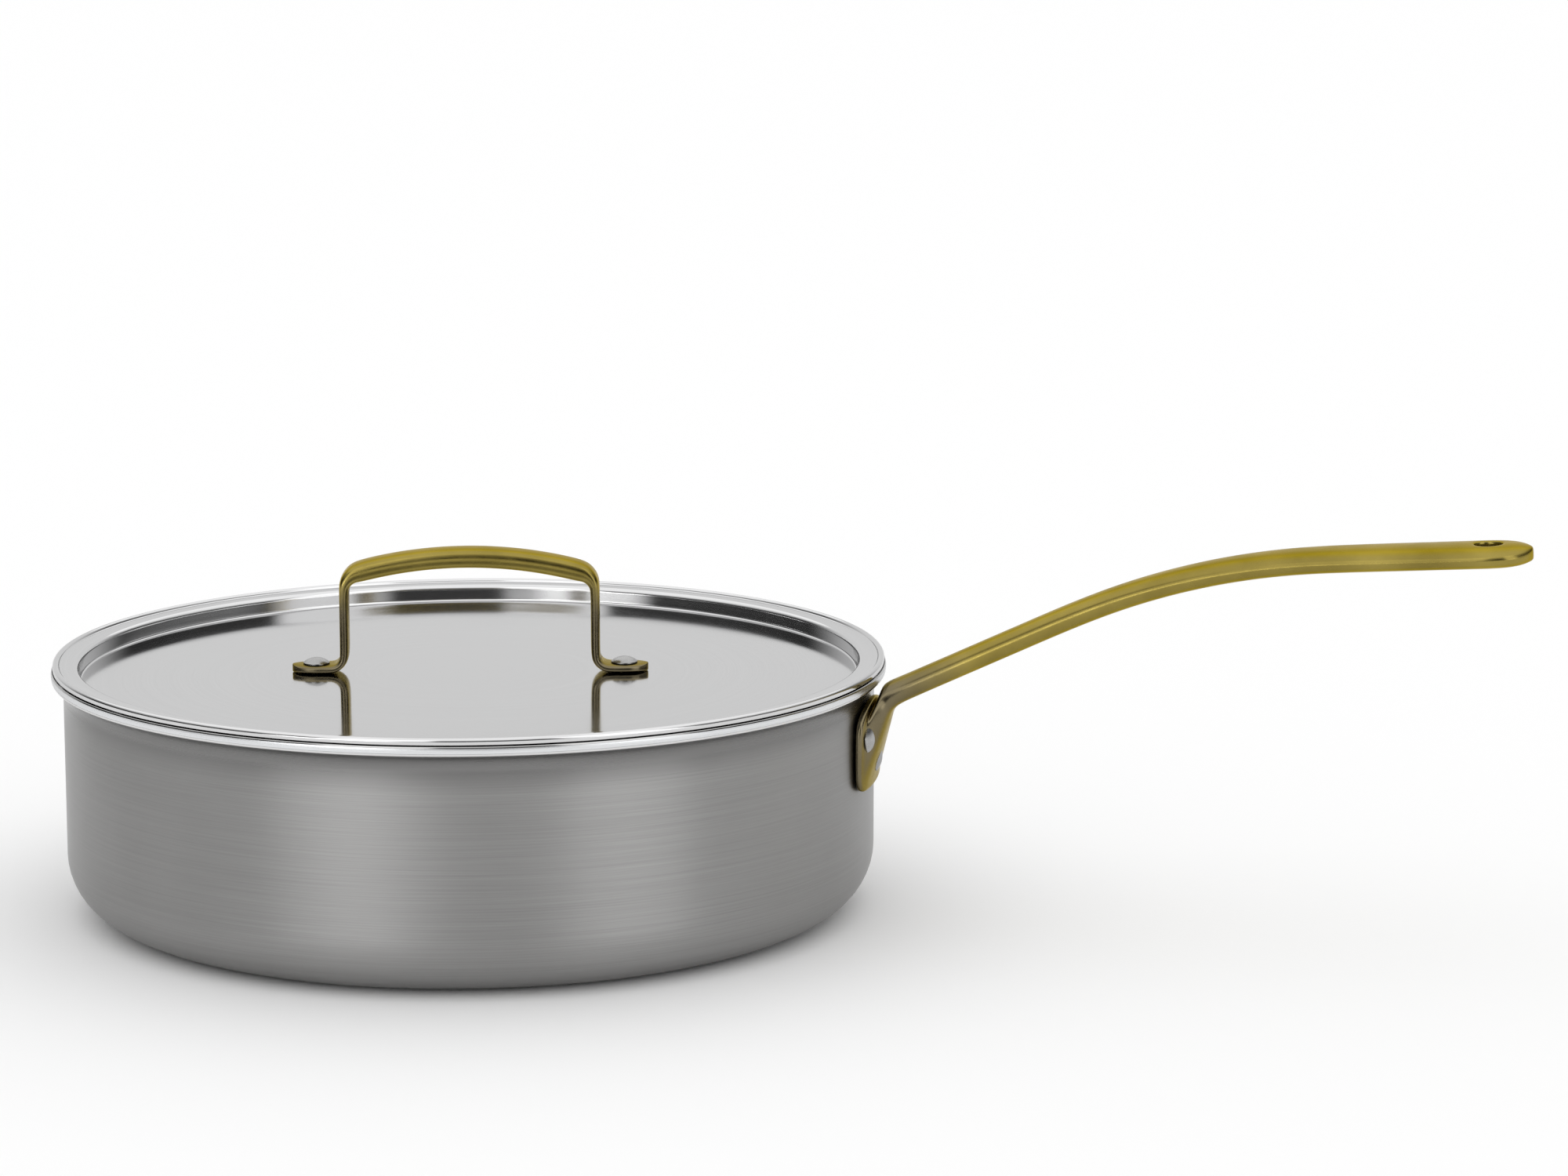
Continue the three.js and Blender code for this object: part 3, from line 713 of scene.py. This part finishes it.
bm = bmesh.new()
upper_centre = LID_TOP - LID_SHEET - UPPER_BEND
crown_radii = [PANEL_RADIUS * i / CROWN_STEPS for i in range(CROWN_STEPS + 1)]
vert = bm.verts.new((0, 0, panel_height(0)))
for radius in crown_radii[1:]:
    vert = straight_on(bm, vert, radius, panel_height(radius))
vert = bend_on(bm, vert, PANEL_RADIUS, PANEL_EDGE + LOWER_BEND, 90)
vert = straight_on(bm, vert, PLUG_RADIUS - LID_SHEET, upper_centre)
vert = bend_on(bm, vert, PLUG_RADIUS + UPPER_BEND, upper_centre, -90)
vert = straight_on(bm, vert, LID_RADIUS - 2 * LID_CURL, LID_TOP)
vert = bend_on(bm, vert, LID_RADIUS - LID_CURL, LID_TOP, -180, CURL_STEPS)
vert = straight_on(bm, vert, LID_RADIUS, LID_TOP - LID_SHEET)
vert = straight_on(bm, vert, PLUG_RADIUS + UPPER_BEND, LID_TOP - LID_SHEET)
vert = bend_on(bm, vert, PLUG_RADIUS + UPPER_BEND, upper_centre, 90)
vert = straight_on(bm, vert, PLUG_RADIUS, PANEL_EDGE + LOWER_BEND)
vert = bend_on(bm, vert, PANEL_RADIUS, PANEL_EDGE + LOWER_BEND, -90)
for radius in crown_radii[-2::-1]:
    vert = straight_on(bm, vert, radius, panel_height(radius) - LID_SHEET)
spin_round(bm)
round_ring(bm, LID_RADIUS - 2 * LID_CURL, LID_TOP, CURL_FILLET)
round_ring(bm, LID_RADIUS, LID_TOP - LID_SHEET, LID_LOWER_ROUNDING)
lid_panel = made_piece("lid_panel", bm)
settle(lid_panel, "lid", "lid_disc", mirror_steel())


# Lid handle
# A bronze strap bowed into a loop, with its two ends bent outwards into flat round-ended feet.
# The grip is thicker and rounder than the legs, and it is polished like the long handle.
LID_TURN = math.radians(12)
LEG_REACH = 0.038
LEG_THICKNESS = 0.0028
LOOP_THICKNESS = 0.006
STRAP_HALF_WIDTH = 0.006
LOOP_HEIGHT = 0.0382
LOOP_TOP = PANEL_EDGE + LID_CROWN + LOOP_HEIGHT
ARCH_RISE = 0.0055
ARCH_RADIUS = (LEG_REACH ** 2 + ARCH_RISE ** 2) / (2 * ARCH_RISE) - LOOP_THICKNESS / 2
CORNER_BEND = 0.0058
FOOT_BEND = 0.0042
FOOT_THICKNESS = 0.0024
FOOT_LENGTH = 0.0146
FOOT_GAP = 0.0001
FOOT_END = LEG_REACH + LEG_THICKNESS / 2 + FOOT_LENGTH
FOOT_BASE = panel_height(LEG_REACH - LEG_THICKNESS / 2) + FOOT_GAP
STRAP_POINTS = 16
STRAP_SQUARENESS = 0.55
ARCH_STEPS = 5
STRAP_BEND_STEPS = 4
LEG_STEPS = 3
FOOT_END_TURNS = (0, 30, 55, 75, 87)
SEAM_WITHIN = 1e-5
ARCH_CENTRE = LOOP_TOP - LOOP_THICKNESS / 2 - ARCH_RADIUS
CORNER_X = LEG_REACH - CORNER_BEND
CORNER_Z = ARCH_CENTRE + math.sqrt((ARCH_RADIUS - CORNER_BEND) ** 2 - CORNER_X ** 2)
ARCH_HALF_TURN = math.atan2(CORNER_X, CORNER_Z - ARCH_CENTRE)
FOOT_MIDDLE = FOOT_BASE + FOOT_THICKNESS / 2


def strap_ring(x, z, heading, thickness, half_width=STRAP_HALF_WIDTH):
    """The strap's section at a point of its centre line, square to its heading below the level."""
    places = []
    for k in range(STRAP_POINTS):
        turn = 2 * math.pi * k / STRAP_POINTS
        side = half_width * squared(math.cos(turn), STRAP_SQUARENESS)
        up = thickness / 2 * squared(math.sin(turn), STRAP_SQUARENESS)
        places.append(Vector((x + up * math.sin(heading), side, z + up * math.cos(heading))))
    return places


def half_loop():
    """The strap's sections from the middle of the grip down to the end of one foot."""
    rings = []
    for step in range(ARCH_STEPS + 1):
        turn = ARCH_HALF_TURN * step / ARCH_STEPS
        x = ARCH_RADIUS * math.sin(turn)
        z = ARCH_CENTRE + ARCH_RADIUS * math.cos(turn)
        rings.append(strap_ring(x, z, turn, LOOP_THICKNESS))
    for step in range(1, STRAP_BEND_STEPS + 1):
        share = step / STRAP_BEND_STEPS
        turn = ARCH_HALF_TURN + (math.pi / 2 - ARCH_HALF_TURN) * share
        x = CORNER_X + CORNER_BEND * math.sin(turn)
        z = CORNER_Z + CORNER_BEND * math.cos(turn)
        rings.append(strap_ring(x, z, turn, LOOP_THICKNESS + (LEG_THICKNESS - LOOP_THICKNESS) * share))
    bend_height = FOOT_MIDDLE + FOOT_BEND
    for step in range(1, LEG_STEPS + 1):
        z = CORNER_Z + (bend_height - CORNER_Z) * step / LEG_STEPS
        rings.append(strap_ring(LEG_REACH, z, math.pi / 2, LEG_THICKNESS))
    for step in range(1, STRAP_BEND_STEPS + 1):
        share = step / STRAP_BEND_STEPS
        turn = math.pi / 2 * (1 - share)
        x = LEG_REACH + FOOT_BEND * (1 - math.sin(turn))
        z = bend_height - FOOT_BEND * math.cos(turn)
        rings.append(strap_ring(x, z, turn, LEG_THICKNESS + (FOOT_THICKNESS - LEG_THICKNESS) * share))
    round_start = FOOT_END - STRAP_HALF_WIDTH
    half_way = (LEG_REACH + FOOT_BEND + round_start) / 2
    rings.append(strap_ring(half_way, FOOT_MIDDLE, 0, FOOT_THICKNESS))
    for degrees in FOOT_END_TURNS:
        turn = math.radians(degrees)
        x = round_start + STRAP_HALF_WIDTH * math.sin(turn)
        rings.append(strap_ring(x, FOOT_MIDDLE, 0, FOOT_THICKNESS, STRAP_HALF_WIDTH * math.cos(turn)))
    return rings


bm = bmesh.new()
rings = half_loop()
ring = first_ring(bm, rings[0], capped=False)
for places in rings[1:]:
    ring = next_ring(bm, ring, places)
bmesh.ops.contextual_create(bm, geom=ring)
bmesh.ops.mirror(bm, geom=bm.verts[:] + bm.edges[:] + bm.faces[:], axis="X", merge_dist=SEAM_WITHIN)
bmesh.ops.remove_doubles(bm, verts=bm.verts[:], dist=MERGE_WITHIN)
bmesh.ops.recalc_face_normals(bm, faces=bm.faces[:])
bmesh.ops.rotate(bm, verts=bm.verts[:], cent=(0, 0, 0), matrix=Matrix.Rotation(LID_TURN, 3, "Z"))
lid_loop = made_piece("lid_loop", bm, sharp=180)
rounded(lid_loop, 2)
settle(lid_loop, "lid", "lid_handle", bronze)


# Lid rivets
# One stainless rivet through each foot and the panel, its head domed on the foot and its tail
# upset under the lid.
LID_RIVET_RADIUS = 0.00225
LID_RIVET_HEAD_RADIUS = 0.004
LID_RIVET_HEAD_HEIGHT = 0.0018
LID_RIVET_REACH = LEG_REACH + LEG_THICKNESS / 2 + 0.0073

for node, reach in (("lid_rivet_left", -LID_RIVET_REACH), ("lid_rivet_right", LID_RIVET_REACH)):
    above = FOOT_BASE + FOOT_THICKNESS + RIVET_HEAD_GAP
    below = panel_height(LID_RIVET_REACH + LID_RIVET_HEAD_RADIUS) - LID_SHEET - RIVET_HEAD_GAP
    bm = rivet_mesh(LID_RIVET_RADIUS, LID_RIVET_HEAD_RADIUS, LID_RIVET_HEAD_HEIGHT, below, above)
    place = Matrix.Rotation(LID_TURN, 4, "Z") @ Matrix.Translation((reach, 0, 0))
    bmesh.ops.transform(bm, matrix=place, verts=bm.verts[:])
    rivet = made_piece(node.replace("lid_rivet", "foot_rivet"), bm)
    settle(rivet, "lid", node, rivet_finish)


# Studio
# A wide white floor under soft even light. The metal also mirrors a white sweep behind the pan, a
# pale ceiling, a dim room that is lighter higher up, and three low and two raised panels of light.
CAMERA_AZIMUTH = math.radians(14.5)
CAMERA_ELEVATION = math.radians(12.53)
CAMERA_DISTANCE = 1.5
TARGET_HEIGHT = 0.040
AIM_RIGHT = 0.0962
AIM_UP = 0.0548
CAMERA_LENS = 112.59
FLOOR_HALF_SIZE = 12.0
FLOOR_TONE = (0.94, 0.94, 0.94, 1)
WHITE = (1, 1, 1, 1)
EVEN_LIGHT = 0.80
SWEEP_LIGHT = 0.96
SWEEP_FROM = -0.975
SWEEP_TO = -0.55
CEILING_LIGHT = 0.85
CEILING_FROM = 0.40
CEILING_TO = 0.85
ROOM_LIGHT = 0.05
UPPER_ROOM_LIGHT = 0.36
UPPER_ROOM_FROM = 0.28
UPPER_ROOM_TO = 0.40
# Each panel: degrees round from the camera, half its width and its fade in degrees, light, and height.
PANELS = (
    (-38, 10, 12, 3.8, "low"), (46, 9, 12, 2.4, "low"), (98, 18, 25, 0.75, "low"),
    (-27, 13, 6, 1.5, "raised"), (43, 14, 8, 1.5, "raised"))
PANEL_TOP_FROM = 0.75
PANEL_TOP_TO = 0.92
RAISED_FROM = 0.05
RAISED_TO = 0.20
SUN_STRENGTH = 0.85
SUN_SPREAD = math.radians(110)
SUN_ELEVATION = math.radians(80)

scene = bpy.context.scene
scene.view_settings.view_transform = "Standard"


def camera_frame():
    """The camera's place, the point it looks at, and the way back to it from the pan."""
    back = Vector((
        math.sin(CAMERA_AZIMUTH) * math.cos(CAMERA_ELEVATION),
        -math.cos(CAMERA_AZIMUTH) * math.cos(CAMERA_ELEVATION),
        math.sin(CAMERA_ELEVATION)))
    right = Vector((math.cos(CAMERA_AZIMUTH), math.sin(CAMERA_AZIMUTH), 0))
    up = back.cross(right)
    target = Vector((0, 0, TARGET_HEIGHT))
    return target + CAMERA_DISTANCE * back, target + AIM_RIGHT * right + AIM_UP * up, back


camera_place, camera_aim, camera_back = camera_frame()
camera = bpy.data.objects.new("camera", bpy.data.cameras.new("camera"))
camera.data.lens = CAMERA_LENS
camera.location = camera_place
camera.rotation_euler = (camera_aim - camera_place).to_track_quat("-Z", "Y").to_euler()
scene.collection.objects.link(camera)
scene.camera = camera


def floor_paint():
    """Matt white paint."""
    material = bpy.data.materials.new("floor_paint")
    material.use_nodes = True
    shader = material.node_tree.nodes["Principled BSDF"]
    shader.inputs["Base Color"].default_value = FLOOR_TONE
    shader.inputs["Roughness"].default_value = 0.9
    shader.inputs["Specular IOR Level"].default_value = 0.1
    return material


bm = bmesh.new()
bmesh.ops.create_grid(bm, x_segments=1, y_segments=1, size=FLOOR_HALF_SIZE)
floor = made_piece("floor", bm)
floor.data.materials.append(floor_paint())


def toward(degrees):
    """A level direction, turned by that much about the pan from the way to the camera."""
    level = Vector((camera_back.x, camera_back.y, 0)).normalized()
    return Matrix.Rotation(math.radians(degrees), 3, "Z") @ level


def eased(tree, value, low, high, from_low, from_high):
    """Eases from one brightness to another as a value grows."""
    return add_node(
        tree, "ShaderNodeMapRange", interpolation_type="SMOOTHSTEP",
        sockets={"Value": value, "From Min": from_low, "From Max": from_high,
                 "To Min": low, "To Max": high}).outputs[0]


def facing(tree, direction, way):
    """How far a level direction points along a given way, as a cosine."""
    return add_node(
        tree, "ShaderNodeVectorMath", operation="DOT_PRODUCT",
        sockets={0: direction, 1: way}).outputs["Value"]


def studio_reflections(tree):
    """What the metal mirrors: the room, the sweep behind the pan, the ceiling and the panels."""
    place = add_node(tree, "ShaderNodeTexCoord")
    flat = add_node(
        tree, "ShaderNodeVectorMath", operation="MULTIPLY",
        sockets={0: place.outputs["Generated"], 1: (1, 1, 0)})
    level = add_node(
        tree, "ShaderNodeVectorMath", operation="NORMALIZE", sockets={0: flat.outputs[0]}).outputs[0]
    split = add_node(tree, "ShaderNodeSeparateXYZ", sockets={0: place.outputs["Generated"]})
    height = split.outputs[2]
    room = eased(tree, height, ROOM_LIGHT, UPPER_ROOM_LIGHT, UPPER_ROOM_FROM, UPPER_ROOM_TO)
    behind = eased(tree, facing(tree, level, toward(0)), 1, 0, SWEEP_FROM, SWEEP_TO)
    around = blend_values(tree, behind, room, SWEEP_LIGHT)
    above = eased(tree, height, 0, 1, CEILING_FROM, CEILING_TO)
    brightness = blend_values(tree, above, around, CEILING_LIGHT)
    below_top = eased(tree, height, 1, 0, PANEL_TOP_FROM, PANEL_TOP_TO)
    raised = eased(tree, height, 0, 1, RAISED_FROM, RAISED_TO)
    low = eased(tree, height, 1, 0, RAISED_FROM, RAISED_TO)
    heights = {"low": low, "raised": combine(tree, "MULTIPLY", below_top, raised)}
    for degrees, half_angle, fade, light, height_name in PANELS:
        edge = math.cos(math.radians(half_angle + fade))
        core = math.cos(math.radians(half_angle))
        panel = eased(tree, facing(tree, level, toward(degrees)), 0, light, edge, core)
        panel = combine(tree, "MULTIPLY", panel, heights[height_name])
        brightness = combine(tree, "MAXIMUM", brightness, panel)
    return brightness


def studio_world():
    """Even light on everything matt, the studio for what mirrors it and white for the camera."""
    world = bpy.data.worlds.new("studio")
    world.use_nodes = True
    tree = world.node_tree
    tree.nodes.clear()
    ray = add_node(tree, "ShaderNodeLightPath")
    mirrored = combine(
        tree, "MAXIMUM", ray.outputs["Is Glossy Ray"], ray.outputs["Is Transmission Ray"])
    even = add_node(tree, "ShaderNodeBackground", sockets={0: WHITE, 1: EVEN_LIGHT})
    studio = add_node(tree, "ShaderNodeBackground", sockets={0: WHITE, 1: studio_reflections(tree)})
    white = add_node(tree, "ShaderNodeBackground", sockets={0: WHITE, 1: 1.0})
    lit = add_node(
        tree, "ShaderNodeMixShader", sockets={0: mirrored, 1: even.outputs[0], 2: studio.outputs[0]})
    seen = add_node(
        tree, "ShaderNodeMixShader",
        sockets={0: ray.outputs["Is Camera Ray"], 1: lit.outputs[0], 2: white.outputs[0]})
    out = add_node(tree, "ShaderNodeOutputWorld")
    tree.links.new(seen.outputs[0], out.inputs["Surface"])
    scene.world = world


studio_world()
sun = bpy.data.objects.new("overhead", bpy.data.lights.new("overhead", "SUN"))
sun.data.energy = SUN_STRENGTH
sun.data.angle = SUN_SPREAD
sunlight = toward(0) * math.cos(SUN_ELEVATION) - Vector((0, 0, math.sin(SUN_ELEVATION)))
sun.rotation_euler = sunlight.to_track_quat("-Z", "Y").to_euler()
scene.collection.objects.link(sun)
